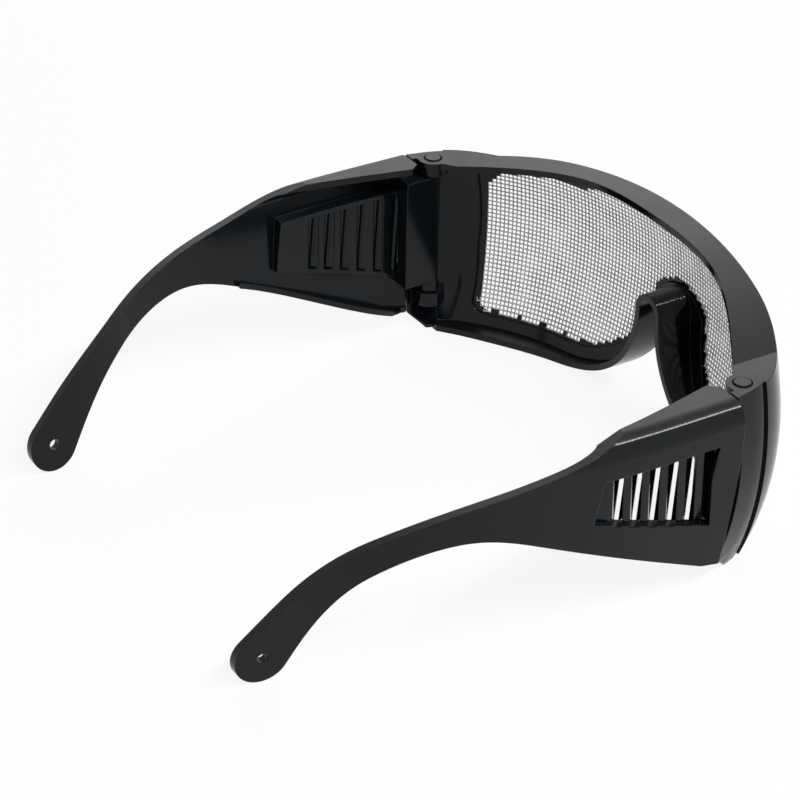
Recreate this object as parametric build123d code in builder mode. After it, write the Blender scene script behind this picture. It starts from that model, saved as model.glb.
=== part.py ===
from build123d import *

import os
from math import atan, cos, pi, radians, sin, sqrt, tan

# Mesh safety goggles: a wrap-round front frame with a curved metal mesh behind its window,
# and two deep temple arms with louvred side vents, each hinged on a round upright pin.
# Millimetres. Z is up from the table, the front faces -Y, the wearer's right is -X.
# Most outlines are drawn from the hinge axis: across, behind the hinges, above the table.

# Heights above the table
DECK = 52.3
CROWN = 60.2
BULGE_LEVEL = 32.3

# Front band, seen from above: three tangent arcs a side and a straight wing
HINGE_HALF = 69.8
BROW_RADIUS = 135.4
CHEEK_RADIUS = 75.9
TEMPLE_RADIUS = 27.4
BROW_SWEEP = 17.5
CHEEK_SWEEP = 24.4
TEMPLE_SWEEP = 34.7
FRONT_REACH = 36.3
WING = 12.0
BARREL_RADIUS = 85.0
WALL = 2.2
RIM = 1.8
SHELF_DEPTH = 18.0
ARCH_HALF = 62.0
SHELF_INNER = 23.4

# Nose notch and lens window, seen from the front
NOSE_HALF = 3.4
NOSE_FLARE = 31.0
WINDOW_HALF = 66.0
WINDOW_SIDE_DROP = 2.4
WINDOW_SHOULDER = 48.0
WINDOW_TOP = 56.4
WINDOW_BOTTOM = 4.5
WINDOW_FLARE = 26.0
WINDOW_NOSE_HALF = 10.5
WINDOW_NOSE_TOP = 36.3
WINDOW_CORNER = 4.5

# Mesh sheet held in a groove in the middle of the wall
MESH_SHEET = 0.7
GROOVE = 0.9
MESH_LAP = 0.8
GROOVE_LAP = 1.0

# Hinges
PIN_RADIUS = 2.2
PIN_PROUD = 0.3
PIN_FIT = 0.05
PIN_RING = 0.35
PIN_RING_DEPTH = 0.8
LUG_RADIUS = 4.2
LUG_THICKNESS = 4.0
LOWER_LUG_TOP = 12.0
LUG_GAP = 0.4
SEAM_GAP = 0.5
SEAM_TOP = 5.9
SEAM_MIDDLE = 4.6
SEAM_BOTTOM = 7.2
STEP_BACK = 5.0
STEP_DEPTH = 0.6
WING_CORNER = 6.0

# Temple arms, seen from above: a straight start, two inward arcs and one outward
ARM_OUTSET = 9.3
ARM_STRAIGHT = 19.5
SHIELD_RADIUS = 277.0
SHIELD_SWEEP = 8.9
BEND_RADIUS = 143.0
BEND_SWEEP = 14.7
RETURN_RADIUS = 60.0
RETURN_SWEEP = 16.8
ARM_WALL = 2.4
ARM_RIM = 1.8
ARM_DEPTH = 12.8
ARM_LEAN = 0.11
ARM_SHOULDER = 5.0
STRAP_BACK = 124.9
STRAP_RADIUS = 1.5
TIP_RADIUS = 6.9
TIP_UPPER_ANGLE = 45.0
TIP_LOWER_ANGLE = 209.0
BARREL_WALL = 1.2
WEB = 4.2
WEB_RISE = 3.2

# Side vents
VENT_SLOTS = 6
VENT_PITCH = 5.35
VENT_GAP = 3.0
VENT_FIRST = 12.3
VENT_SLANT = 45.0
VENT_BOX_DEPTH = 6.4
VENT_BOX_WALL = 1.4
VENT_RECESS = 1.6

# Hand-chosen shares: across in hinge half spacings, back in front reaches
SHELF_EDGE_SHARES = ((0.43, -0.573), (0.716, -0.3), (0.86, -0.12))
# Hand-chosen shares of the arm: back in arm reaches, up in deck heights
ARM_TOP_SHARES = ((0.19, 1.03), (0.33, 0.975), (0.44, 0.9), (0.596, 0.818), (0.747, 0.688), (0.877, 0.484))
ARM_LOWER_SHARES = ((0.776, 0.476), (0.609, 0.629), (0.455, 0.522))
ARM_HEEL_SHARES = ((0.091, 0.112), (0.045, 0.09))
# Hand-chosen shares of an arm's flange edge: across in arm half spacings, back in arm reaches
TOP_TRIM_SHARES = ((0.877, 0.036), (0.841, 0.065), (0.88, 0.167), (0.915, 0.275), (0.938, 0.455))
LOW_TRIM_SHARES = (
    (0.91, 0.036), (0.905, 0.062), (0.877, 0.11), (0.868, 0.167), (0.887, 0.275), (0.894, 0.455),
)
# Hand-chosen shares of the arm again: the vent's window and the box behind it
VENT_SHARES = ((0.093, 0.811), (0.343, 0.807), (0.354, 0.576), (0.11, 0.375))
VENT_BOX_SHARES = ((0.052, 0.826), (0.355, 0.826), (0.365, 0.545), (0.055, 0.3))

# Sizes that follow
ARM_HALF = HINGE_HALF + ARM_OUTSET
ARM_REACH = STRAP_BACK + TIP_RADIUS
HINGE_Y = (FRONT_REACH - ARM_REACH) / 2
OVERRUN = WALL
SPAN = 2 * ARM_REACH
LOW_TRIM_TOP = DECK - 2 * ARM_SHOULDER
VENT_BOX_LOW = 0.25 * DECK

# Work planes through the hinge axes
PLAN = Plane((0, HINGE_Y, 0))
FRONT = Plane((0, HINGE_Y, 0), x_dir=(1, 0, 0), z_dir=(0, -1, 0))
SIDE = Plane((0, HINGE_Y, 0), x_dir=(0, 1, 0), z_dir=(1, 0, 0))


def plan(height):
    """Level work plane at a height over the table, seen from above."""
    return Plane((0, HINGE_Y, height))


def bulge(height):
    """How far the barrel-shaped wall falls back at a height."""
    return BARREL_RADIUS - sqrt(BARREL_RADIUS ** 2 - (height - BULGE_LEVEL) ** 2)


def arm_point(share):
    """Side-view point of an arm from its share of the arm's reach and deck height."""
    return (share[0] * ARM_REACH, share[1] * DECK)


def arm_points(shares):
    return [arm_point(share) for share in shares]


def plan_points(shares):
    """Points seen from above, as shares of the arm's half spacing and reach."""
    return [(across * ARM_HALF, back * ARM_REACH) for across, back in shares]


# Paths round the head

def front_path():
    """Outer edge of the front band seen from above, from the right wing to the left wing."""
    with BuildLine(PLAN) as half:
        brow = JernArc((0, -FRONT_REACH), (1, 0), BROW_RADIUS, BROW_SWEEP)
        cheek = JernArc(brow @ 1, brow % 1, CHEEK_RADIUS, CHEEK_SWEEP)
        temple = JernArc(cheek @ 1, cheek % 1, TEMPLE_RADIUS, TEMPLE_SWEEP)
        Line(temple @ 1, temple @ 1 + (temple % 1) * WING)
        mirror(about=Plane.YZ)
    return half.wire()


def arm_path():
    """Outer edge of the left arm seen from above, from the hinge end to past the tip."""
    with BuildLine(PLAN) as path:
        start = Line((ARM_HALF, 0), (ARM_HALF, SEAM_MIDDLE + ARM_STRAIGHT))
        shield = JernArc(start @ 1, start % 1, SHIELD_RADIUS, SHIELD_SWEEP)
        bend = JernArc(shield @ 1, shield % 1, BEND_RADIUS, BEND_SWEEP)
        back = JernArc(bend @ 1, bend % 1, RETURN_RADIUS, -RETURN_SWEEP)
        Line(back @ 1, back @ 1 + (back % 1) * 3 * TIP_RADIUS)
    return path.wire()


def section_plane(path, inward):
    """Upright plane square to a path at its start, with x pointing inwards."""
    return Plane(path @ 0, x_dir=inward, z_dir=path % 0)


def front_band(near, far):
    """The barrel-curved band between two depths behind its outer face."""
    path = front_path()
    low = -OVERRUN
    high = CROWN + OVERRUN
    heading = path % 0
    with BuildPart() as band:
        with BuildSketch(section_plane(path, (-heading.Y, heading.X, 0))):
            with BuildLine():
                outer = ThreePointArc(
                    (near + bulge(low), low), (near, BULGE_LEVEL), (near + bulge(high), high)
                )
                inner = ThreePointArc(
                    (far + bulge(low), low), (far, BULGE_LEVEL), (far + bulge(high), high)
                )
                Line(outer @ 0, inner @ 0)
                Line(outer @ 1, inner @ 1)
            make_face()
        sweep(path=path)
    return band.part


def arm_band(near, far, top, low=-OVERRUN, far_lean=0.0):
    """The leaning side wall of an arm, with a rounded shoulder, between two depths."""
    path = arm_path()
    shoulder = ARM_SHOULDER - near
    fall = top - shoulder - low
    with BuildPart() as band:
        with BuildSketch(section_plane(path, (-1, 0, 0))):
            with BuildLine():
                foot = Line((far + far_lean * fall, low), (near + ARM_LEAN * fall, low))
                side = Line(foot @ 1, (near, top - shoulder))
                round_edge = RadiusArc(side @ 1, (near + shoulder, top), shoulder)
                if far_lean:
                    lid = Line(round_edge @ 1, (far, top - shoulder))
                else:
                    lid = Line(round_edge @ 1, (far, top))
                Line(lid @ 1, foot @ 0)
            make_face()
        sweep(path=path)
    return band.part


def strap_plane():
    """Work plane on the outer face of the left tip, square to it, at the strap hole's centre."""
    path = arm_path()
    heading = path % 1
    fall = ARM_LEAN * (DECK - ARM_SHOULDER - TIP_RADIUS)
    run = (HINGE_Y + STRAP_BACK - fall * heading.X - (path @ 1).Y) / heading.Y
    edge = (path @ 1) + heading * run
    lean = atan(ARM_LEAN)
    outward = Vector(heading.Y * cos(lean), -heading.X * cos(lean), -sin(lean))
    centre = (edge.X - fall * heading.Y, edge.Y + fall * heading.X, TIP_RADIUS)
    return Plane(centre, x_dir=(heading.X, heading.Y, 0), z_dir=outward)


# Front-view outlines

def front_outline(inset):
    """Outline of the frame from the front, drawn in by a rim."""
    half = ARM_HALF + OVERRUN
    top = DECK - inset
    nose = NOSE_HALF + inset
    flare = NOSE_FLARE - inset
    with BuildSketch(FRONT) as outline:
        with BuildLine():
            Polyline((-ARCH_HALF, top), (-half, top), (-half, inset), (-nose - flare, inset))
            ThreePointArc(
                (-nose - flare, inset),
                (-nose - flare + flare * sin(pi / 4), inset + flare * (1 - cos(pi / 4))),
                (-nose, NOSE_FLARE),
            )
            ThreePointArc((-nose, NOSE_FLARE), (0, NOSE_FLARE + nose), (nose, NOSE_FLARE))
            ThreePointArc(
                (nose, NOSE_FLARE),
                (nose + flare - flare * sin(pi / 4), inset + flare * (1 - cos(pi / 4))),
                (nose + flare, inset),
            )
            Polyline((nose + flare, inset), (half, inset), (half, top), (ARCH_HALF, top))
            ThreePointArc((ARCH_HALF, top), (0, CROWN - inset), (-ARCH_HALF, top))
        make_face()
    return outline.sketch


def window_outline(lap):
    """Outline of the lens window from the front, made larger by a lap."""
    shoulder = WINDOW_SHOULDER + lap
    side = WINDOW_HALF + lap
    foot = WINDOW_HALF - WINDOW_SIDE_DROP + lap
    low = WINDOW_BOTTOM - lap
    flare = WINDOW_FLARE + lap
    centre = WINDOW_NOSE_HALF + WINDOW_FLARE
    level = WINDOW_BOTTOM + WINDOW_FLARE
    nose = WINDOW_NOSE_HALF - lap
    with BuildSketch(FRONT) as outline:
        with BuildLine():
            Polyline((-foot, low), (-side, WINDOW_SHOULDER / 2), (-side, shoulder))
            ThreePointArc((-side, shoulder), (0, WINDOW_TOP + lap), (side, shoulder))
            Polyline((side, shoulder), (side, WINDOW_SHOULDER / 2), (foot, low), (centre, low))
            ThreePointArc(
                (centre, low),
                (centre - flare * sin(pi / 4), level - flare * cos(pi / 4)),
                (nose, level),
            )
            ThreePointArc((nose, level), (0, WINDOW_NOSE_TOP - lap), (-nose, level))
            ThreePointArc(
                (-nose, level),
                (-centre + flare * sin(pi / 4), level - flare * cos(pi / 4)),
                (-centre, low),
            )
            Line((-centre, low), (-foot, low))
        make_face()
        outer_corners = outline.vertices().filter_by(lambda v: abs(v.X) > foot - WINDOW_CORNER)
        fillet(outer_corners, WINDOW_CORNER)
    return outline.sketch


def through(outline, length):
    """A prism both ways from an outline's plane."""
    with BuildPart() as prism:
        extrude(outline, amount=length, both=True)
    return prism.part


# Side-view outlines

def seam_outline(shift, reach):
    """Everything behind the seam between wing and arm, moved back by a shift."""
    with BuildSketch(SIDE) as outline:
        with BuildLine():
            seam = ThreePointArc(
                (SEAM_TOP + shift, DECK + OVERRUN),
                (SEAM_MIDDLE + shift, BULGE_LEVEL),
                (SEAM_BOTTOM + shift, -OVERRUN),
            )
            Polyline(seam @ 1, (reach, -OVERRUN), (reach, DECK + OVERRUN), seam @ 0)
        make_face()
    return outline.sketch


def arm_outline():
    """Side view of an arm, from the hinge to the round tip."""
    upper_tip = radians(TIP_UPPER_ANGLE)
    lower_tip = radians(TIP_LOWER_ANGLE)
    middle_tip = (upper_tip + lower_tip) / 2 - pi
    tip = [
        (STRAP_BACK + TIP_RADIUS * cos(angle), TIP_RADIUS + TIP_RADIUS * sin(angle))
        for angle in (upper_tip, middle_tip, lower_tip)
    ]
    top = arm_points(ARM_TOP_SHARES)
    lower = arm_points(ARM_LOWER_SHARES)
    heel = arm_points(ARM_HEEL_SHARES)
    with BuildSketch(SIDE) as outline:
        with BuildLine():
            Line((0, top[0][1]), top[0])
            Spline(
                *top, tip[0],
                tangents=((1, 0), (sin(upper_tip), -cos(upper_tip))),
            )
            ThreePointArc(*tip)
            belly = Spline(
                tip[2], *lower,
                tangents=(
                    (sin(lower_tip), -cos(lower_tip)),
                    (heel[0][0] - lower[-1][0], heel[0][1] - lower[-1][1]),
                ),
            )
            Polyline(belly @ 1, heel[0], heel[1], (0, heel[1][1]), (0, top[0][1]))
        make_face()
    return outline.sketch


def arm_hollow_outline():
    """Side view of the hollow inside an arm, a rim's thickness above its lower edge."""
    lower = arm_points(ARM_LOWER_SHARES)
    heel = arm_points(ARM_HEEL_SHARES)
    floor_edge = [(back, up + ARM_RIM) for back, up in (heel[1], heel[0], lower[2], lower[1])]
    top = DECK + OVERRUN
    with BuildSketch(SIDE) as hollow:
        with BuildLine():
            Polyline((0, top), (0, floor_edge[0][1]), *floor_edge, (floor_edge[-1][0], top), close=True)
        make_face()
    return hollow.sketch


# Front frame
outer_wall = front_band(0, SHELF_DEPTH)
front_hollow = front_band(WALL, SHELF_DEPTH + OVERRUN)
groove_band = front_band((WALL - GROOVE) / 2, (WALL + GROOVE) / 2)
step_band = front_band(-OVERRUN, STEP_DEPTH)

with BuildPart() as hollow_cut:
    add(front_hollow)
    add(through(front_outline(RIM), SPAN), mode=Mode.INTERSECT)

with BuildPart() as shelf_cut:
    edge = [(a * HINGE_HALF, b * FRONT_REACH) for a, b in SHELF_EDGE_SHARES]
    left = [(-x, y) for x, y in edge]
    lug_side = HINGE_HALF - LUG_RADIUS
    lug_end = HINGE_HALF + LUG_RADIUS / 2
    with BuildSketch(plan(-OVERRUN)):
        with BuildLine():
            Spline(
                *reversed(left), (0, -SHELF_INNER), *edge,
            )
            Polyline(
                edge[-1], (lug_side, 0), (lug_end, 0), (lug_end, 2 * ARM_DEPTH),
                (-lug_end, 2 * ARM_DEPTH), (-lug_end, 0), (-lug_side, 0), left[-1],
            )
        make_face()
    extrude(amount=CROWN + 2 * OVERRUN)

with BuildPart() as groove_cut:
    add(groove_band)
    add(through(window_outline(GROOVE_LAP), SPAN), mode=Mode.INTERSECT)

with BuildPart() as step_cut:
    add(step_band)
    with BuildSketch(SIDE):
        with Locations((-STEP_BACK, -OVERRUN)):
            Rectangle(2 * ARM_DEPTH, CROWN + 2 * OVERRUN, align=(Align.MIN, Align.MIN))
    extrude(amount=SPAN, both=True, mode=Mode.INTERSECT)

lug_levels = (DECK - LUG_THICKNESS, LOWER_LUG_TOP - LUG_THICKNESS)
with BuildPart() as lugs:
    for level in lug_levels:
        with BuildSketch(plan(level)):
            for side in (-1, 1):
                with Locations((side * HINGE_HALF, 0)):
                    Circle(LUG_RADIUS)
                with Locations((side * (HINGE_HALF + LUG_RADIUS), 0)):
                    Rectangle(2 * LUG_RADIUS, 2 * LUG_RADIUS)
        extrude(amount=LUG_THICKNESS)
    add(outer_wall, mode=Mode.INTERSECT)

with BuildPart() as front_frame:
    add(outer_wall)
    add(through(front_outline(0), SPAN), mode=Mode.INTERSECT)
    add(hollow_cut.part, mode=Mode.SUBTRACT)
    add(shelf_cut.part, mode=Mode.SUBTRACT)
    add(through(window_outline(0), SPAN), mode=Mode.SUBTRACT)
    add(groove_cut.part, mode=Mode.SUBTRACT)
    add(lugs.part)
    add(step_cut.part, mode=Mode.SUBTRACT)
    add(through(seam_outline(-SEAM_GAP / 2, 4 * ARM_DEPTH), SPAN), mode=Mode.SUBTRACT)
    with BuildSketch(SIDE):
        with BuildLine():
            Polyline(
                (SEAM_BOTTOM - WING_CORNER, 0), (SEAM_BOTTOM, WING_CORNER),
                (SEAM_BOTTOM, -OVERRUN), (SEAM_BOTTOM - WING_CORNER, -OVERRUN), close=True,
            )
        make_face()
    extrude(amount=SPAN, both=True, mode=Mode.SUBTRACT)
    with BuildSketch(plan(-OVERRUN)):
        with Locations((-HINGE_HALF, 0), (HINGE_HALF, 0)):
            Circle(PIN_RADIUS + PIN_FIT)
    extrude(amount=CROWN, mode=Mode.SUBTRACT)
    with BuildSketch(plan(DECK - PIN_RING_DEPTH)):
        with Locations((-HINGE_HALF, 0), (HINGE_HALF, 0)):
            Circle(PIN_RADIUS + PIN_RING)
    extrude(amount=CROWN - DECK, mode=Mode.SUBTRACT)
    with BuildSketch(plan(LOWER_LUG_TOP)):
        with Locations((-HINGE_HALF, 0), (HINGE_HALF, 0)):
            Circle(PIN_RADIUS + BARREL_WALL + LUG_GAP)
    extrude(amount=DECK - LUG_THICKNESS - LOWER_LUG_TOP, mode=Mode.SUBTRACT)

# Mesh sheet
lens_band = front_band((WALL - MESH_SHEET) / 2, (WALL + MESH_SHEET) / 2)
with BuildPart() as mesh_lens:
    add(lens_band)
    add(through(window_outline(MESH_LAP), SPAN), mode=Mode.INTERSECT)

# Hinge pins
pin_bottom = LOWER_LUG_TOP - LUG_THICKNESS

with BuildPart() as left_hinge_pin:
    with BuildSketch(plan(pin_bottom)):
        with Locations((HINGE_HALF, 0)):
            Circle(PIN_RADIUS)
    extrude(amount=DECK + PIN_PROUD - pin_bottom)
    chamfer(left_hinge_pin.edges().filter_by(GeomType.CIRCLE), PIN_PROUD / 2)

with BuildPart() as right_hinge_pin:
    mirror(left_hinge_pin.part, about=Plane.YZ)

# Left arm, and the right arm as its mirror image
arm_block = arm_band(0, ARM_DEPTH, DECK)
arm_hollow = arm_band(ARM_WALL, ARM_DEPTH + OVERRUN, DECK - ARM_RIM)

with BuildPart() as arm_hollow_cut:
    add(arm_hollow)
    add(through(arm_hollow_outline(), SPAN), mode=Mode.INTERSECT)

with BuildPart() as behind_bend:
    add(arm_hollow)
    with BuildSketch(SIDE):
        with Locations((ARM_LOWER_SHARES[2][0] * ARM_REACH, -OVERRUN)):
            Rectangle(ARM_REACH, DECK + 2 * OVERRUN, align=(Align.MIN, Align.MIN))
    extrude(amount=SPAN, both=True, mode=Mode.INTERSECT)


def trim_prism(shares, low, high):
    """The inner edge of an arm's flange, seen from above, as a prism between two heights."""
    points = plan_points(shares)
    with BuildPart() as prism:
        with BuildSketch(plan(low)):
            with BuildLine():
                Polyline((0, points[0][1]), points[0], points[1])
                Spline(*points[1:])
                Polyline(points[-1], (0, points[-1][1]), (0, points[0][1]))
            make_face()
        extrude(amount=high - low)
    return prism.part


barrel_low = LOWER_LUG_TOP + LUG_GAP
barrel_high = DECK - LUG_THICKNESS - LUG_GAP
with BuildPart() as knuckle:
    with BuildSketch(plan(barrel_low)):
        with Locations((HINGE_HALF, 0)):
            Circle(PIN_RADIUS + BARREL_WALL)
    extrude(amount=barrel_high - barrel_low)
    with BuildSketch(plan(barrel_low + WEB_RISE)):
        with Locations((HINGE_HALF - PIN_RADIUS - BARREL_WALL, 0)):
            Rectangle(2 * PIN_RADIUS + BARREL_WALL, SEAM_TOP + WEB, align=(Align.MIN, Align.MIN))
        with Locations((HINGE_HALF - PIN_RADIUS - BARREL_WALL, SEAM_TOP)):
            Rectangle(ARM_DEPTH, WEB, align=(Align.MIN, Align.MIN))
    extrude(amount=barrel_high - barrel_low - WEB_RISE)
    add(arm_block, mode=Mode.INTERSECT)

with BuildPart() as vent_box:
    add(arm_band(ARM_WALL / 2, VENT_BOX_DEPTH, DECK, VENT_BOX_LOW))
    with BuildSketch(SIDE):
        with BuildLine():
            Polyline(*arm_points(VENT_BOX_SHARES), close=True)
        make_face()
    extrude(amount=SPAN, mode=Mode.INTERSECT)

with BuildPart() as vent_slots:
    inner = ARM_HALF - VENT_BOX_DEPTH - OVERRUN
    outer = ARM_HALF + OVERRUN
    middle = ARM_HALF - (VENT_BOX_DEPTH + VENT_RECESS) / 2
    with BuildSketch(plan(0)):
        for slot in range(VENT_SLOTS):
            centre = VENT_FIRST + slot * VENT_PITCH
            run_in = (middle - inner) * tan(radians(VENT_SLANT))
            run_out = (outer - middle) * tan(radians(VENT_SLANT))
            with BuildLine():
                Polyline(
                    (inner, centre - run_in - VENT_GAP / 2), (outer, centre + run_out - VENT_GAP / 2),
                    (outer, centre + run_out + VENT_GAP / 2), (inner, centre - run_in + VENT_GAP / 2),
                    close=True,
                )
            make_face()
    extrude(amount=DECK)
    with BuildSketch(SIDE):
        with BuildLine():
            Polyline(*arm_points(VENT_BOX_SHARES), close=True)
        make_face()
        offset(amount=-VENT_BOX_WALL, kind=Kind.INTERSECTION)
    extrude(amount=SPAN, mode=Mode.INTERSECT)

with BuildPart() as vent_recess:
    add(arm_band(-OVERRUN, VENT_RECESS, DECK, VENT_BOX_LOW, ARM_LEAN))
    with BuildSketch(SIDE):
        with BuildLine():
            Polyline(*arm_points(VENT_SHARES), close=True)
        make_face()
    extrude(amount=SPAN, mode=Mode.INTERSECT)

lug_room = LUG_RADIUS + LUG_GAP
with BuildPart() as hinge_room:
    with BuildSketch(plan(DECK - LUG_THICKNESS - LUG_GAP), plan(pin_bottom - LUG_GAP)):
        with Locations((HINGE_HALF, 0)):
            Circle(lug_room)
    extrude(amount=LUG_THICKNESS + 2 * LUG_GAP)

with BuildPart() as left_arm:
    add(arm_block)
    add(through(arm_outline(), SPAN), mode=Mode.INTERSECT)
    add(arm_hollow_cut.part, mode=Mode.SUBTRACT)
    add(behind_bend.part, mode=Mode.SUBTRACT)
    add(trim_prism(TOP_TRIM_SHARES, DECK - 2 * ARM_RIM, DECK + OVERRUN), mode=Mode.SUBTRACT)
    add(trim_prism(LOW_TRIM_SHARES, -OVERRUN, LOW_TRIM_TOP), mode=Mode.SUBTRACT)
    add(through(seam_outline(SEAM_GAP / 2, SPAN), SPAN), mode=Mode.INTERSECT)
    add(hinge_room.part, mode=Mode.SUBTRACT)
    add(knuckle.part)
    add(vent_box.part)
    add(vent_recess.part, mode=Mode.SUBTRACT)
    add(vent_slots.part, mode=Mode.SUBTRACT)
    with BuildSketch(plan(-OVERRUN)):
        with Locations((HINGE_HALF, 0)):
            Circle(PIN_RADIUS + PIN_FIT)
    extrude(amount=CROWN, mode=Mode.SUBTRACT)
    with BuildSketch(strap_plane()):
        Circle(STRAP_RADIUS)
    extrude(amount=2 * ARM_WALL, both=True, mode=Mode.SUBTRACT)

with BuildPart() as right_arm:
    mirror(left_arm.part, about=Plane.YZ)


os.makedirs("parts", exist_ok=True)
pieces = {
    "front_frame": front_frame,
    "mesh_lens": mesh_lens,
    "left_arm": left_arm,
    "right_arm": right_arm,
    "left_hinge_pin": left_hinge_pin,
    "right_hinge_pin": right_hinge_pin,
}
for name, piece in pieces.items():
    piece.part.label = name
    export_step(piece.part, f"parts/{name}.step")
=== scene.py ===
"""Mesh safety goggles: plastic, woven wire mesh and studio, laid over the fixed frame."""

from math import cos, hypot, pi, radians, sin, sqrt

import bmesh
import bpy
from bpy.props import FloatProperty, FloatVectorProperty, IntProperty, PointerProperty
from mathutils import Matrix, Vector


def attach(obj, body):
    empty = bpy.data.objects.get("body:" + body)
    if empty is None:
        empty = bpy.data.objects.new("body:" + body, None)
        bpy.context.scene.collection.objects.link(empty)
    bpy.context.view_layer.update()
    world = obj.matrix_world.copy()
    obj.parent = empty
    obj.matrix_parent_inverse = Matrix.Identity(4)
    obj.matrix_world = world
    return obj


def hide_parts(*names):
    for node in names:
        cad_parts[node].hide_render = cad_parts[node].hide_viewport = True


bl_info = {
    "name": "Mesh Safety Goggles",
    "version": (1, 0, 0),
    "blender": (4, 5, 0),
    "location": "View3D > Sidebar > Goggles",
    "description": "Finishes the goggles with moulded plastic, woven wire mesh and studio light",
    "category": "Object",
}

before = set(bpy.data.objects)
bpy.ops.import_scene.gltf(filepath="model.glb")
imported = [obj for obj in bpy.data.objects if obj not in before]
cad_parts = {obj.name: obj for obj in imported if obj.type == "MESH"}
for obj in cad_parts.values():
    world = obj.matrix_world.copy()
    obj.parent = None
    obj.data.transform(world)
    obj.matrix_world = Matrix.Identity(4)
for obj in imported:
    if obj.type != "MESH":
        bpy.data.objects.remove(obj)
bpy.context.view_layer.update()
MM = 0.001

# The front wall's shape, as the wire mesh has to follow it
HINGE_BACK = -47.75 * MM
FRONT_REACH = 36.3 * MM
BROW_RADIUS = 135.4 * MM
CHEEK_RADIUS = 75.9 * MM
TEMPLE_RADIUS = 27.4 * MM
BROW_SWEEP = radians(17.5)
CHEEK_SWEEP = radians(24.4)
TEMPLE_SWEEP = radians(34.7)
FRONT_ARCS = (
    (BROW_RADIUS, BROW_SWEEP),
    (CHEEK_RADIUS, CHEEK_SWEEP),
    (TEMPLE_RADIUS, TEMPLE_SWEEP),
)
BARREL_RADIUS = 85 * MM
BULGE_LEVEL = 32.3 * MM
WALL = 2.2 * MM

# The lens window seen from the front, and how far the mesh runs on behind its edge
WINDOW_HALF = 66 * MM
WINDOW_SIDE_DROP = 2.4 * MM
WINDOW_SHOULDER = 48 * MM
WINDOW_TOP = 56.4 * MM
WINDOW_BOTTOM = 4.5 * MM
WINDOW_FLARE = 26 * MM
WINDOW_NOSE_HALF = 10.5 * MM
WINDOW_NOSE_TOP = 36.3 * MM
MESH_LAP = 0.7 * MM

# A length along the wall from the middle that lies past the window's side
MESH_REACH = BROW_RADIUS * BROW_SWEEP + CHEEK_RADIUS * CHEEK_SWEEP + TEMPLE_RADIUS / 2

# Probes along a wire in one pitch, and how far a wire swings, as a share of its thickness
STEPS_IN_PITCH = 8
WIRE_SWING = 0.3

# How far the moulding runs over the mesh at the window's edges, and the waves of its edge
FLASH_TOP = 2.2 * MM
FLASH_SIDE = 1.0 * MM
FLASH_CORNER = 6.5 * MM
FLASH_FOOT = 4 * MM
FLASH_SWING = 1.3 * MM
FLASH_WAVE = 5.5 * MM
SECOND_WAVE = 1.7
SECOND_SHIFT = 2
QUICK_WAVE = 4.3
EDGE_CALM = 8
FLASH_OUTER = 0.3 * WALL
FLASH_INNER = 0.7 * WALL

# The plate at a wing's lower corner: lengths along the wall, top, lower edge's slope and depths
CORNER_FRONT = 82 * MM
CORNER_CUT = 89.75 * MM
CORNER_REAR = 95 * MM
CORNER_TOP = 10 * MM
CORNER_SLOPE = 0.895
CORNER_OUTER = 0.63 * MM
CORNER_INNER = 2.17 * MM
CORNER_CUTS = 9

# The vent slots of an arm: places behind the hinge axis, levels, and depths behind the outer face
ARM_HALF = 79.1 * MM
VENT_SLOTS = 6
VENT_PITCH = 5.35 * MM
VENT_FIRST = 12.3 * MM
VENT_HALF = 1.5 * MM
VENT_MIDDLE = 4 * MM
VENT_TOP = 42 * MM
VENT_LOW = 17 * MM
VENT_LOW_BACK = 7.25 * MM
VENT_LOW_SLOPE = 0.3135
SHIELD_STRAIGHT = 24.1 * MM
SHIELD_RADIUS = 277 * MM
BLADE_OUTER = 5.3 * MM
BLADE_INNER = 6.3 * MM
BLADE_ROOT = 0.3 * MM

# The moulded plastic: shine, fine grain, soft clouds, and how level a face is that turns satin
PLASTIC_IOR = 1.5
PLASTIC_SPECULAR = 0.2
EDGE_SAMPLES = 6
FRAME_GRAIN, FRAME_BUMP = 2600, 0.25
ARM_GRAIN, ARM_BUMP = 2200, 0.2
PIN_GRAIN, PIN_BUMP = 3000, 0.3
PIN_DULLNESS = 2
GRAIN_HEIGHT = 0.02 * MM
SKIN_CLOUDS = 45
SKIN_ROUGHNESS_SHARES = 0.85, 1.2
SKIN_COLOUR_SHARES = 0.9, 1.12
SATIN_STARTS, SATIN_FULL = 0.75, 0.98

# The wire's polish
WIRE_METALLIC = 0.35
WIRE_ROUGHNESS = 0.4
WIRE_CLOUDS = 160
WIRE_DARK_AT, WIRE_LIGHT_AT = 0.3, 0.7
WIRE_COLOUR_SHARES = 0.75, 1.2
WIRE_ROUGHNESS_SHARES = 0.8, 1.2

# The camera's place and the way that it is turned
CAMERA_PLACE = (-569.279 * MM, 367.494 * MM, 428.830 * MM)
CAMERA_RIGHT = (-0.52621682, -0.85010546, 0.02040999)
CAMERA_UP = (0.44436087, -0.25443772, 0.85895568)
CAMERA_FORWARD = (0.72500984, -0.46106633, -0.51164301)
CAMERA_LENS = 139.5
CAMERA_SENSOR = 36
CAMERA_NEAR = 10 * MM
CAMERA_FAR = 20

# Floor and lamps: places, targets and sizes in metres
FLOOR_HALF = 3
FLOOR_ROUGHNESS = 0.9
FLOOR_WHITE_SHARE = 0.88
RIDGE_PLACE, RIDGE_TARGET = (-0.50, -0.17, 0.76), (-0.06, 0, 0.04)
RIDGE_WIDTH, RIDGE_DEPTH = 1.0, 0.05
SHEEN_PLACE, SHEEN_TARGET = (0.65, -0.41, 0.46), (0, 0, 0.04)
SHEEN_WIDTH, SHEEN_DEPTH = 0.7, 0.35


# The curved wall

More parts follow.
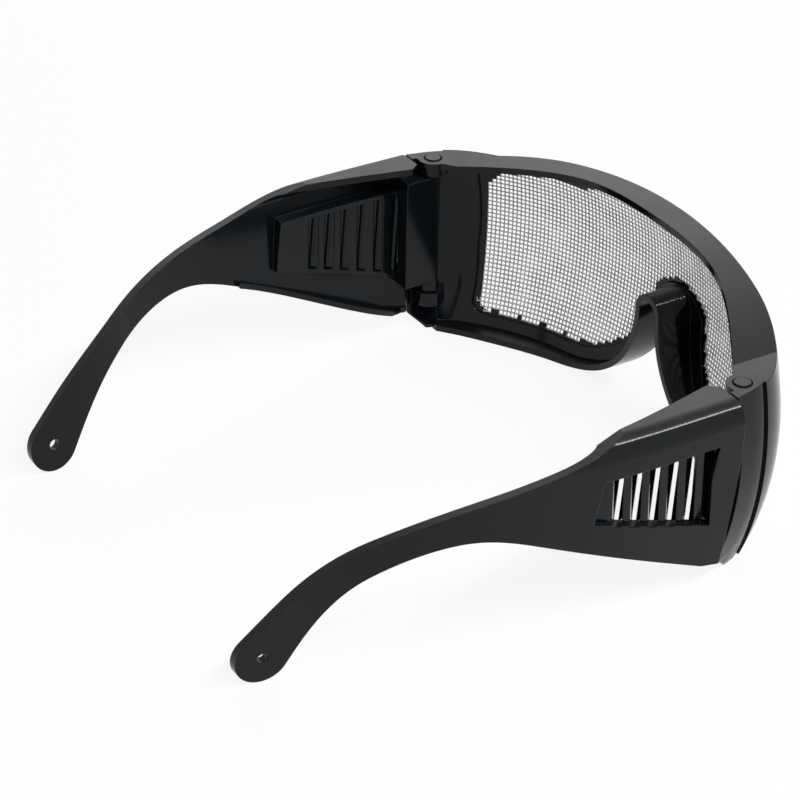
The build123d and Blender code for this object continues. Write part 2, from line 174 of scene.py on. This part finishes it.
def plan_place(along):
    """Outer edge of the front wall from above, and the way inwards, at a length from the middle."""
    side = 1 if along >= 0 else -1
    length = abs(along)
    across = back = turn = 0
    for radius, sweep in FRONT_ARCS:
        stretch = min(length, radius * sweep)
        end = turn + stretch / radius
        across += radius * (sin(end) - sin(turn))
        back += radius * (cos(turn) - cos(end))
        turn = end
        length -= stretch
    across += length * cos(turn)
    back += length * sin(turn)
    place = Vector((side * across, HINGE_BACK - FRONT_REACH + back, 0))
    inward = Vector((-side * sin(turn), cos(turn), 0))
    return place, inward


def wall_point(along, height, depth):
    """Point inside the barrel-curved front wall, a depth behind its outer face."""
    place, inward = plan_place(along)
    bulge = BARREL_RADIUS - sqrt(BARREL_RADIUS ** 2 - (height - BULGE_LEVEL) ** 2)
    point = place + inward * (depth + bulge)
    return Vector((point.x, point.y, height))


def arch_room(across, height, half, foot, top):
    """How far a point lies under an arch that springs from a foot level to a top."""
    rise = top - foot
    radius = (half ** 2 + rise ** 2) / (2 * rise)
    return radius - hypot(across, height - top + radius)


def edge_rooms(along, height):
    """How far a point of the wall lies inside the window's side, top, bottom and nose edges."""
    across = abs(wall_point(along, height, WALL / 2).x)
    side = WINDOW_HALF - WINDOW_SIDE_DROP * max(0, 1 - 2 * height / WINDOW_SHOULDER) - across
    top = arch_room(across, height, WINDOW_HALF, WINDOW_SHOULDER, WINDOW_TOP)
    bottom = height - WINDOW_BOTTOM
    level = WINDOW_BOTTOM + WINDOW_FLARE
    centre = WINDOW_NOSE_HALF + WINDOW_FLARE
    if height >= level:
        nose = -arch_room(across, height, WINDOW_NOSE_HALF, level, WINDOW_NOSE_TOP)
    elif across > centre:
        nose = WINDOW_FLARE
    else:
        nose = WINDOW_FLARE - hypot(centre - across, level - height)
    return side, top, bottom, nose


def has_mesh(along, height):
    """Whether the mesh sheet reaches a point of the wall, in the window or in the groove round it."""
    return min(edge_rooms(along, height)) > -MESH_LAP


def moulded_over(along, height):
    """Whether the moulding has run over the mesh there: wavy strips and slanting corners."""
    side, top, bottom, nose = edge_rooms(along, height)
    slow = sin(along / FLASH_WAVE) + sin(SECOND_WAVE * along / FLASH_WAVE + SECOND_SHIFT)
    quick = sin(QUICK_WAVE * along / FLASH_WAVE + height / FLASH_WAVE)
    if top < FLASH_TOP + FLASH_SWING * (slow + quick) / 2 or side + top < FLASH_CORNER:
        return True
    if side < FLASH_SIDE or side + bottom < FLASH_FOOT:
        return True
    return min(bottom, nose) < FLASH_SIDE + FLASH_SWING * quick / EDGE_CALM


def spans(probe, low, high, step, least):
    """Stretches of a line on which a probe is true, without those shorter than the least length."""
    found = []
    value = low
    inside = False
    while value <= high:
        was_inside, inside = inside, probe(value)
        if inside and was_inside:
            found[-1][1] = value
        elif inside:
            found.append([value, value])
        value += step
    return [(first, last) for first, last in found if last - first > least]


# Shared pieces of material

def new_group(name, inputs, outputs):
    """An empty shader group with its sockets and its two end nodes."""
    group = bpy.data.node_groups.new(name, "ShaderNodeTree")
    for label, kind, value in inputs:
        socket = group.interface.new_socket(label, in_out="INPUT", socket_type=kind)
        socket.default_value = value
    for label, kind in outputs:
        group.interface.new_socket(label, in_out="OUTPUT", socket_type=kind)
    return group, group.nodes.new("NodeGroupInput"), group.nodes.new("NodeGroupOutput")


def share_range(nodes, links, noise, shares):
    """A node that turns a noise from 0 to 1 into a value between two shares."""
    spread = nodes.new("ShaderNodeMapRange")
    spread.inputs["To Min"].default_value, spread.inputs["To Max"].default_value = shares
    links.new(noise.outputs["Fac"], spread.inputs["Value"])
    return spread


def moulded_skin():
    """Fine moulding texture: a colour, a roughness and a height that vary over the surface."""
    if "moulded_skin" in bpy.data.node_groups:
        return bpy.data.node_groups["moulded_skin"]
    group, start, end = new_group(
        "moulded_skin",
        [
            ("Colour", "NodeSocketColor", (0.03, 0.03, 0.03, 1)),
            ("Gloss Roughness", "NodeSocketFloat", 0.15),
            ("Satin Roughness", "NodeSocketFloat", 0.4),
            ("Grain Size", "NodeSocketFloat", 2500),
        ],
        [
            ("Colour", "NodeSocketColor"),
            ("Roughness", "NodeSocketFloat"),
            ("Height", "NodeSocketFloat"),
        ],
    )
    nodes, links = group.nodes, group.links
    place = nodes.new("ShaderNodeTexCoord")
    grain = nodes.new("ShaderNodeTexNoise")
    grain.inputs["Detail"].default_value = 4
    links.new(place.outputs["Object"], grain.inputs["Vector"])
    links.new(start.outputs["Grain Size"], grain.inputs["Scale"])
    cloud = nodes.new("ShaderNodeTexNoise")
    cloud.inputs["Scale"].default_value = SKIN_CLOUDS
    cloud.inputs["Detail"].default_value = 3
    links.new(place.outputs["Object"], cloud.inputs["Vector"])

    axes = nodes.new("ShaderNodeSeparateXYZ")
    links.new(place.outputs["Normal"], axes.inputs["Vector"])
    upward = nodes.new("ShaderNodeMapRange")
    upward.interpolation_type = "SMOOTHSTEP"
    upward.inputs["From Min"].default_value = SATIN_STARTS
    upward.inputs["From Max"].default_value = SATIN_FULL
    links.new(axes.outputs["Z"], upward.inputs["Value"])

    rough = nodes.new("ShaderNodeMix")
    links.new(upward.outputs["Result"], rough.inputs["Factor"])
    links.new(start.outputs["Gloss Roughness"], rough.inputs["A"])
    links.new(start.outputs["Satin Roughness"], rough.inputs["B"])
    smear = share_range(nodes, links, cloud, SKIN_ROUGHNESS_SHARES)
    scaled = nodes.new("ShaderNodeMath")
    scaled.operation = "MULTIPLY"
    links.new(rough.outputs["Result"], scaled.inputs[0])
    links.new(smear.outputs["Result"], scaled.inputs[1])
    links.new(scaled.outputs["Value"], end.inputs["Roughness"])

    tint = share_range(nodes, links, cloud, SKIN_COLOUR_SHARES)
    colour = nodes.new("ShaderNodeVectorMath")
    colour.operation = "SCALE"
    links.new(start.outputs["Colour"], colour.inputs["Vector"])
    links.new(tint.outputs["Result"], colour.inputs["Scale"])
    links.new(colour.outputs["Vector"], end.inputs["Colour"])
    links.new(grain.outputs["Fac"], end.inputs["Height"])
    return group


def moulded_plastic(name, colour, plastic, grain, bump, dullness=1):
    """Black moulded plastic with soft edges, glossy on its walls and satin where it faces up."""
    material = bpy.data.materials.new(name)
    material.use_nodes = True
    nodes, links = material.node_tree.nodes, material.node_tree.links
    shader = nodes["Principled BSDF"]
    shader.inputs["IOR"].default_value = PLASTIC_IOR
    shader.inputs["Specular IOR Level"].default_value = PLASTIC_SPECULAR
    skin = nodes.new("ShaderNodeGroup")
    skin.node_tree = moulded_skin()
    skin.inputs["Colour"].default_value = (*colour, 1)
    skin.inputs["Gloss Roughness"].default_value = dullness * plastic.gloss
    skin.inputs["Satin Roughness"].default_value = plastic.satin
    skin.inputs["Grain Size"].default_value = grain
    soft_edge = nodes.new("ShaderNodeBevel")
    soft_edge.samples = EDGE_SAMPLES
    soft_edge.inputs["Radius"].default_value = plastic.edge
    relief = nodes.new("ShaderNodeBump")
    links.new(soft_edge.outputs["Normal"], relief.inputs["Normal"])
    relief.inputs["Strength"].default_value = bump
    relief.inputs["Distance"].default_value = GRAIN_HEIGHT
    links.new(skin.outputs["Colour"], shader.inputs["Base Color"])
    links.new(skin.outputs["Roughness"], shader.inputs["Roughness"])
    links.new(skin.outputs["Height"], relief.inputs["Height"])
    links.new(relief.outputs["Normal"], shader.inputs["Normal"])
    return material


def wire_metal(colour):
    """Coated steel wire, with a slight change of colour and polish from place to place."""
    material = bpy.data.materials.new("coated_wire")
    material.use_nodes = True
    nodes, links = material.node_tree.nodes, material.node_tree.links
    shader = nodes["Principled BSDF"]
    shader.inputs["Metallic"].default_value = WIRE_METALLIC
    place = nodes.new("ShaderNodeTexCoord")
    cloud = nodes.new("ShaderNodeTexNoise")
    cloud.inputs["Scale"].default_value = WIRE_CLOUDS
    cloud.inputs["Detail"].default_value = 5
    links.new(place.outputs["Object"], cloud.inputs["Vector"])
    ramp = nodes.new("ShaderNodeValToRGB")
    ends = ramp.color_ramp.elements
    ends[0].position, ends[1].position = WIRE_DARK_AT, WIRE_LIGHT_AT
    for end, share in zip(ends, WIRE_COLOUR_SHARES):
        end.color = (*[share * value for value in colour], 1)
    links.new(cloud.outputs["Fac"], ramp.inputs["Fac"])
    links.new(ramp.outputs["Color"], shader.inputs["Base Color"])
    roughnesses = [WIRE_ROUGHNESS * share for share in WIRE_ROUGHNESS_SHARES]
    polish = share_range(nodes, links, cloud, roughnesses)
    links.new(polish.outputs["Result"], shader.inputs["Roughness"])
    return material


def finish_node(node, material):
    """Gives a frame node its material."""
    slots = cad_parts[node].data.materials
    slots.clear()
    slots.append(material)


def piece_from(mesh, name, material, body, smooth=False):
    """A finished piece at the origin, riding on a body."""
    for polygon in mesh.polygons:
        polygon.use_smooth = smooth
    mesh.materials.append(material)
    piece = bpy.data.objects.new(name, mesh)
    bpy.context.scene.collection.objects.link(piece)
    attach(piece, body)
    return piece


# Sizes and colours that a user may change

class GogglesPlastic(bpy.types.PropertyGroup):
    """Colours and polish of the moulded plastic."""

    frame_colour: FloatVectorProperty(
        name="Frame Colour", description="Colour of the front frame", subtype="COLOR",
        size=3, min=0, max=1, default=(0.0030, 0.0042, 0.0056),
    )
    arm_colour: FloatVectorProperty(
        name="Arm Colour", description="Colour of the temple arms", subtype="COLOR",
        size=3, min=0, max=1, default=(0.0028, 0.0044, 0.0060),
    )
    gloss: FloatProperty(
        name="Wall Roughness", description="Roughness of the glossy walls", subtype="FACTOR",
        min=0, max=1, default=0.1,
    )
    satin: FloatProperty(
        name="Top Roughness", description="Roughness of the faces that look up", subtype="FACTOR",
        min=0, max=1, default=0.42,
    )
    edge: FloatProperty(
        name="Edge Radius", description="Radius of the moulded edges", unit="LENGTH",
        default=0.35 * MM,
    )


class GogglesWire(bpy.types.PropertyGroup):
    """Sizes and colour of the woven wire mesh."""

    pitch: FloatProperty(
        name="Wire Pitch", description="Distance from one wire to the next", unit="LENGTH",
        default=1.25 * MM,
    )
    thickness: FloatProperty(
        name="Wire Thickness", description="Diameter of a wire", unit="LENGTH", default=0.45 * MM,
    )
    sides: IntProperty(name="Wire Sides", description="Flat sides round a wire", min=3, default=5)
    rings: IntProperty(name="Rings", description="Rings of a wire in one pitch", min=2, default=2)
    colour: FloatVectorProperty(
        name="Wire Colour", description="Colour of the coated wire", subtype="COLOR",
        size=3, min=0, max=1, default=(0.53, 0.545, 0.56),
    )


class GogglesVent(bpy.types.PropertyGroup):
    """Sizes of the open gaps in the side vents."""

    gap: FloatProperty(
        name="Open Gap", description="Width of the gap left open in a slot", unit="LENGTH",
        default=1.4 * MM,
    )
    lean_low: FloatProperty(
        name="Lower Shift", description="How far back a gap lies at its foot", unit="LENGTH",
        default=0.8 * MM,
    )
    lean_high: FloatProperty(
        name="Upper Shift", description="How far back a gap lies at its top", unit="LENGTH",
        default=-0.4 * MM,
    )


class GogglesStudio(bpy.types.PropertyGroup):
    """Floor and lamps."""

    floor_colour: FloatVectorProperty(
        name="Floor Colour", description="Colour of the floor", subtype="COLOR",
        size=3, min=0, max=1, default=(0.95, 0.95, 0.95),
    )
    surround: FloatProperty(
        name="Surround", description="Brightness of the room around the goggles", min=0,
        default=0.2,
    )
    ridge_power: FloatProperty(
        name="Ridge Lamp", description="Power of the strip lamp along the arms", min=0, default=8,
    )
    sheen_power: FloatProperty(
        name="Sheen Lamp", description="Power of the low lamp on the far side", min=0, default=2.5,
    )


# Shared steps of meshes

def box_cut(cuts):
    """A closed unit box, cut across into squares."""
    box = bmesh.new()
    bmesh.ops.create_cube(box, size=1)
    if cuts:
        bmesh.ops.subdivide_edges(box, edges=box.edges[:], cuts=cuts, use_grid_fill=True)
    return box


def mesh_of(name, whole):
    """A mesh made of a bmesh, which is freed."""
    bmesh.ops.recalc_face_normals(whole, faces=whole.faces)
    mesh = bpy.data.meshes.new(name)
    whole.to_mesh(mesh)
    whole.free()
    return mesh


def shares_of(vertex):
    """How far a unit box's vertex lies along, in and up, each from 0 to 1."""
    return [value + 0.5 for value in vertex.co]


def add_to(whole, part):
    """Adds one bmesh to another and frees it."""
    scratch = bpy.data.meshes.new("scratch")
    part.to_mesh(scratch)
    part.free()
    whole.from_mesh(scratch)
    bpy.data.meshes.remove(scratch)


# Woven wire mesh

def wire_bar(length, radius, sides, cuts):
    """A straight closed bar along Z, cut into rings."""
    bar = bmesh.new()
    bmesh.ops.create_cone(
        bar, cap_ends=True, cap_tris=False, segments=sides,
        radius1=radius, radius2=radius, depth=length,
    )
    long_edges = [
        edge for edge in bar.edges if abs(edge.verts[0].co.z - edge.verts[1].co.z) > radius
    ]
    bmesh.ops.subdivide_edges(bar, edges=long_edges, cuts=cuts, use_grid_fill=True)
    return bar


def add_wire(woven, span, wire, place_of):
    """Adds a wire over a span, each point put in its place by a function of its run and offsets."""
    length = span[1] - span[0]
    middle = (span[0] + span[1]) / 2
    bar = wire_bar(length, wire.thickness / 2, wire.sides, int(length / wire.pitch * wire.rings))
    for vertex in bar.verts:
        across, inward, run = vertex.co
        vertex.co = place_of(middle + run, across, inward)
    add_to(woven, bar)


def woven_mesh(wire):
    """All the wires, woven over and under each other and bent to the front wall."""
    pitch = wire.pitch
    sheet = WALL / 2
    swing = WIRE_SWING * wire.thickness
    step = pitch / STEPS_IN_PITCH
    woven = bmesh.new()
    columns = int(MESH_REACH / pitch)
    for column in range(-columns, columns + 1):
        along = column * pitch
        for span in spans(lambda z: has_mesh(along, z), 0, WINDOW_TOP + WALL, step, pitch):
            add_wire(woven, span, wire, lambda run, across, inward: wall_point(
                along + across, run, sheet + inward + swing * cos(pi * run / pitch + pi * column),
            ))
    for row in range(int(WINDOW_TOP / pitch) + 1):
        height = row * pitch
        for span in spans(lambda s: has_mesh(s, height), -MESH_REACH, MESH_REACH, step, pitch):
            add_wire(woven, span, wire, lambda run, across, inward: wall_point(
                run, height + across, sheet + inward - swing * cos(pi * run / pitch + pi * row),
            ))
    return mesh_of("woven_mesh", woven)


def filled_cells(pitch):
    """Cells of the mesh at the window's edge that the moulding has run into and closed."""
    margin = MESH_LAP + pitch / 2
    closed = bmesh.new()
    columns = int(MESH_REACH / pitch)
    for column in range(-columns, columns):
        for row in range(int(WINDOW_TOP / pitch) + 1):
            along, height = (column + 0.5) * pitch, (row + 0.5) * pitch
            if min(edge_rooms(along, height)) < -margin or not moulded_over(along, height):
                continue
            cell = box_cut(0)
            for vertex in cell.verts:
                place = vertex.co.copy()
                depth = FLASH_OUTER if place.y < 0 else FLASH_INNER
                vertex.co = wall_point(along + place.x * pitch, height + place.z * pitch, depth)
            add_to(closed, cell)
    return mesh_of("window_flash", closed)


# Forms that the frame leaves out

def wing_corners():
    """The bent plates that fill the lower rear corners of both wings."""
    corners = bmesh.new()
    for side in (-1, 1):
        plate = box_cut(CORNER_CUTS)
        for vertex in plate.verts:
            back, inner, up = shares_of(vertex)
            along = CORNER_FRONT + back * (CORNER_REAR - CORNER_FRONT)
            low = max(0, CORNER_SLOPE * (along - CORNER_CUT))
            depth = CORNER_OUTER + inner * (CORNER_INNER - CORNER_OUTER)
            vertex.co = wall_point(side * along, low + up * (CORNER_TOP - low), depth)
        add_to(corners, plate)
    return mesh_of("wing_corners", corners)


def vent_blades(side, gap, lean_low, lean_high):
    """Blades beside every vent slot of an arm that leave a narrow, leaning gap open."""
    blades = bmesh.new()
    for slot in range(VENT_SLOTS):
        centre = VENT_FIRST + slot * VENT_PITCH
        low = VENT_LOW + VENT_LOW_SLOPE * (centre - VENT_LOW_BACK)
        sag = max(0, centre - SHIELD_STRAIGHT) ** 2 / (2 * SHIELD_RADIUS)
        for way in (-1, 1):
            root = way * (VENT_HALF + BLADE_ROOT)
            thinnest = root - way * BLADE_ROOT / 2
            blade = box_cut(0)
            for vertex in blade.verts:
                out, inner, up = shares_of(vertex)
                gap_edge = lean_low + up * (lean_high - lean_low) + way * gap / 2
                free = max(gap_edge, thinnest) if way < 0 else min(gap_edge, thinnest)
                depth = BLADE_OUTER + inner * (BLADE_INNER - BLADE_OUTER)
                back = centre + VENT_MIDDLE - depth - sag + root + out * (free - root)
                across = side * (ARM_HALF - depth - sag)
                vertex.co = (across, HINGE_BACK + back, low + up * (VENT_TOP - low))
            add_to(blades, blade)
    return mesh_of("vent_blades", blades)


# Operators

class GOGGLES_OT_finish_frame(bpy.types.Operator):
    """Gives the front frame its black moulded plastic and fills the wings' lower corners"""

    bl_idname = "goggles.finish_frame"
    bl_label = "Finish Frame"

    def execute(self, context):
        plastic = context.scene.goggles_plastic
        material = moulded_plastic(
            "frame_plastic", plastic.frame_colour, plastic, FRAME_GRAIN, FRAME_BUMP,
        )
        finish_node("front_frame", material)
        corners = wing_corners()
        piece_from(corners, "wing_corners", material, "front", smooth=True)
        return {"FINISHED"}


class GOGGLES_OT_finish_arms(bpy.types.Operator):
    """Gives both temple arms their glossy black plastic and narrows their vent slots"""

    bl_idname = "goggles.finish_arms"
    bl_label = "Finish Arms"

    def execute(self, context):
        plastic = context.scene.goggles_plastic
        vent = context.scene.goggles_vent
        material = moulded_plastic("arm_plastic", plastic.arm_colour, plastic, ARM_GRAIN, ARM_BUMP)
        for side, hand in ((1, "left"), (-1, "right")):
            finish_node(hand + "_arm", material)
            blades = vent_blades(side, vent.gap, vent.lean_low, vent.lean_high)
            piece_from(blades, hand + "_vent_blades", material, hand + "_temple")
        return {"FINISHED"}


class GOGGLES_OT_finish_pins(bpy.types.Operator):
    """Gives both hinge pins their matt black plastic"""

    bl_idname = "goggles.finish_pins"
    bl_label = "Finish Pins"

    def execute(self, context):
        plastic = context.scene.goggles_plastic
        material = moulded_plastic(
            "pin_plastic", plastic.frame_colour, plastic, PIN_GRAIN, PIN_BUMP, PIN_DULLNESS,
        )
        for node in ("left_hinge_pin", "right_hinge_pin"):
            finish_node(node, material)
        return {"FINISHED"}


class GOGGLES_OT_weave_mesh(bpy.types.Operator):
    """Weaves the curved wire mesh and closes the cells at the window's edge"""

    bl_idname = "goggles.weave_mesh"
    bl_label = "Weave Mesh"

    def execute(self, context):
        wire = context.scene.goggles_wire
        plastic = context.scene.goggles_plastic
        woven = piece_from(
            woven_mesh(wire), "woven_mesh", wire_metal(wire.colour), "front",
            smooth=True,
        )
        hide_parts("mesh_lens")
        material = moulded_plastic(
            "flash_plastic", plastic.frame_colour, plastic, FRAME_GRAIN, FRAME_BUMP,
        )
        piece_from(filled_cells(wire.pitch), "window_flash", material, "front")
        return {"FINISHED"}


def area_lamp(name, place, target, width, depth, power):
    """A soft box lamp that points at a target."""
    data = bpy.data.lights.new(name, "AREA")
    data.shape = "RECTANGLE"
    data.size, data.size_y = width, depth
    data.energy = power
    lamp = bpy.data.objects.new(name, data)
    bpy.context.scene.collection.objects.link(lamp)
    lamp.location = place
    lamp.rotation_euler = (Vector(target) - Vector(place)).to_track_quat("-Z", "Y").to_euler()


def background_rays(nodes, links):
    """One for the rays that show the background: seen, mirrored or seen through something."""
    rays = nodes.new("ShaderNodeLightPath")
    shown = nodes.new("ShaderNodeMath")
    shown.operation = "MAXIMUM"
    links.new(rays.outputs["Is Camera Ray"], shown.inputs[0])
    links.new(rays.outputs["Is Glossy Ray"], shown.inputs[1])
    every = nodes.new("ShaderNodeMath")
    every.operation = "MAXIMUM"
    links.new(shown.outputs["Value"], every.inputs[0])
    links.new(rays.outputs["Is Transmission Ray"], every.inputs[1])
    return every.outputs["Value"]


class GOGGLES_OT_build_stage(bpy.types.Operator):
    """Makes the floor, the room, the lamps and the camera"""

    bl_idname = "goggles.build_stage"
    bl_label = "Build Stage"

    def execute(self, context):
        studio = context.scene.goggles_studio
        scene = context.scene
        scene.view_settings.view_transform = "Standard"

        data = bpy.data.cameras.new("camera")
        data.lens = CAMERA_LENS
        data.sensor_width = CAMERA_SENSOR
        data.clip_start, data.clip_end = CAMERA_NEAR, CAMERA_FAR
        camera = bpy.data.objects.new("camera", data)
        scene.collection.objects.link(camera)
        turn = Matrix((CAMERA_RIGHT, CAMERA_UP, [-value for value in CAMERA_FORWARD])).transposed()
        camera.matrix_world = Matrix.Translation(CAMERA_PLACE) @ turn.to_4x4()
        scene.camera = camera

        floor_mesh = bmesh.new()
        bmesh.ops.create_grid(floor_mesh, x_segments=1, y_segments=1, size=FLOOR_HALF)
        mesh = bpy.data.meshes.new("floor")
        floor_mesh.to_mesh(mesh)
        floor_mesh.free()
        floor = bpy.data.objects.new("floor", mesh)
        scene.collection.objects.link(floor)
        mesh.materials.append(self.floor_material(studio.floor_colour))

        self.light_room(scene, studio.surround)
        area_lamp(
            "ridge_lamp", RIDGE_PLACE, RIDGE_TARGET, RIDGE_WIDTH, RIDGE_DEPTH, studio.ridge_power,
        )
        area_lamp(
            "sheen_lamp", SHEEN_PLACE, SHEEN_TARGET, SHEEN_WIDTH, SHEEN_DEPTH, studio.sheen_power,
        )
        return {"FINISHED"}

    def floor_material(self, colour):
        """Pale floor that the camera sees near white and that keeps a soft shadow."""
        material = bpy.data.materials.new("floor")
        material.use_nodes = True
        nodes, links = material.node_tree.nodes, material.node_tree.links
        lit = nodes["Principled BSDF"]
        lit.inputs["Base Color"].default_value = (*colour, 1)
        lit.inputs["Roughness"].default_value = FLOOR_ROUGHNESS
        share = nodes.new("ShaderNodeMath")
        share.operation = "MULTIPLY"
        share.inputs[1].default_value = FLOOR_WHITE_SHARE
        links.new(background_rays(nodes, links), share.inputs[0])
        white = nodes.new("ShaderNodeEmission")
        mix = nodes.new("ShaderNodeMixShader")
        links.new(share.outputs["Value"], mix.inputs["Fac"])
        links.new(lit.outputs["BSDF"], mix.inputs[1])
        links.new(white.outputs["Emission"], mix.inputs[2])
        links.new(mix.outputs["Shader"], nodes["Material Output"].inputs["Surface"])
        return material

    def light_room(self, scene, brightness):
        """Grey room light, with plain white behind the goggles."""
        world = bpy.data.worlds.new("room")
        scene.world = world
        world.use_nodes = True
        nodes, links = world.node_tree.nodes, world.node_tree.links
        room = nodes["Background"]
        room.inputs["Color"].default_value = (1, 1, 1, 1)
        room.inputs["Strength"].default_value = brightness
        white = nodes.new("ShaderNodeBackground")
        white.inputs["Color"].default_value = (1, 1, 1, 1)
        mix = nodes.new("ShaderNodeMixShader")
        links.new(background_rays(nodes, links), mix.inputs["Fac"])
        links.new(room.outputs["Background"], mix.inputs[1])
        links.new(white.outputs["Background"], mix.inputs[2])
        links.new(mix.outputs["Shader"], nodes["World Output"].inputs["Surface"])


class GOGGLES_PT_panel(bpy.types.Panel):
    """The goggles' steps, in their order"""

    bl_label = "Goggles"
    bl_space_type = "VIEW_3D"
    bl_region_type = "UI"
    bl_category = "Goggles"

    def draw(self, context):
        layout = self.layout
        for step in STEPS:
            layout.operator(step.bl_idname)


STEPS = (
    GOGGLES_OT_finish_frame,
    GOGGLES_OT_finish_arms,
    GOGGLES_OT_finish_pins,
    GOGGLES_OT_weave_mesh,
    GOGGLES_OT_build_stage,
)
SETTINGS = {
    "goggles_plastic": GogglesPlastic,
    "goggles_wire": GogglesWire,
    "goggles_vent": GogglesVent,
    "goggles_studio": GogglesStudio,
}


def register():
    for settings in SETTINGS.values():
        bpy.utils.register_class(settings)
    for name, settings in SETTINGS.items():
        setattr(bpy.types.Scene, name, PointerProperty(type=settings))
    for step in STEPS:
        bpy.utils.register_class(step)
    bpy.utils.register_class(GOGGLES_PT_panel)


def unregister():
    bpy.utils.unregister_class(GOGGLES_PT_panel)
    for step in reversed(STEPS):
        bpy.utils.unregister_class(step)
    for name in SETTINGS:
        delattr(bpy.types.Scene, name)
    for settings in reversed(SETTINGS.values()):
        bpy.utils.unregister_class(settings)


def main():
    register()
    bpy.ops.goggles.finish_frame()
    bpy.ops.goggles.finish_arms()
    bpy.ops.goggles.finish_pins()
    bpy.ops.goggles.weave_mesh()
    bpy.ops.goggles.build_stage()


if __name__ == "__main__":
    main()
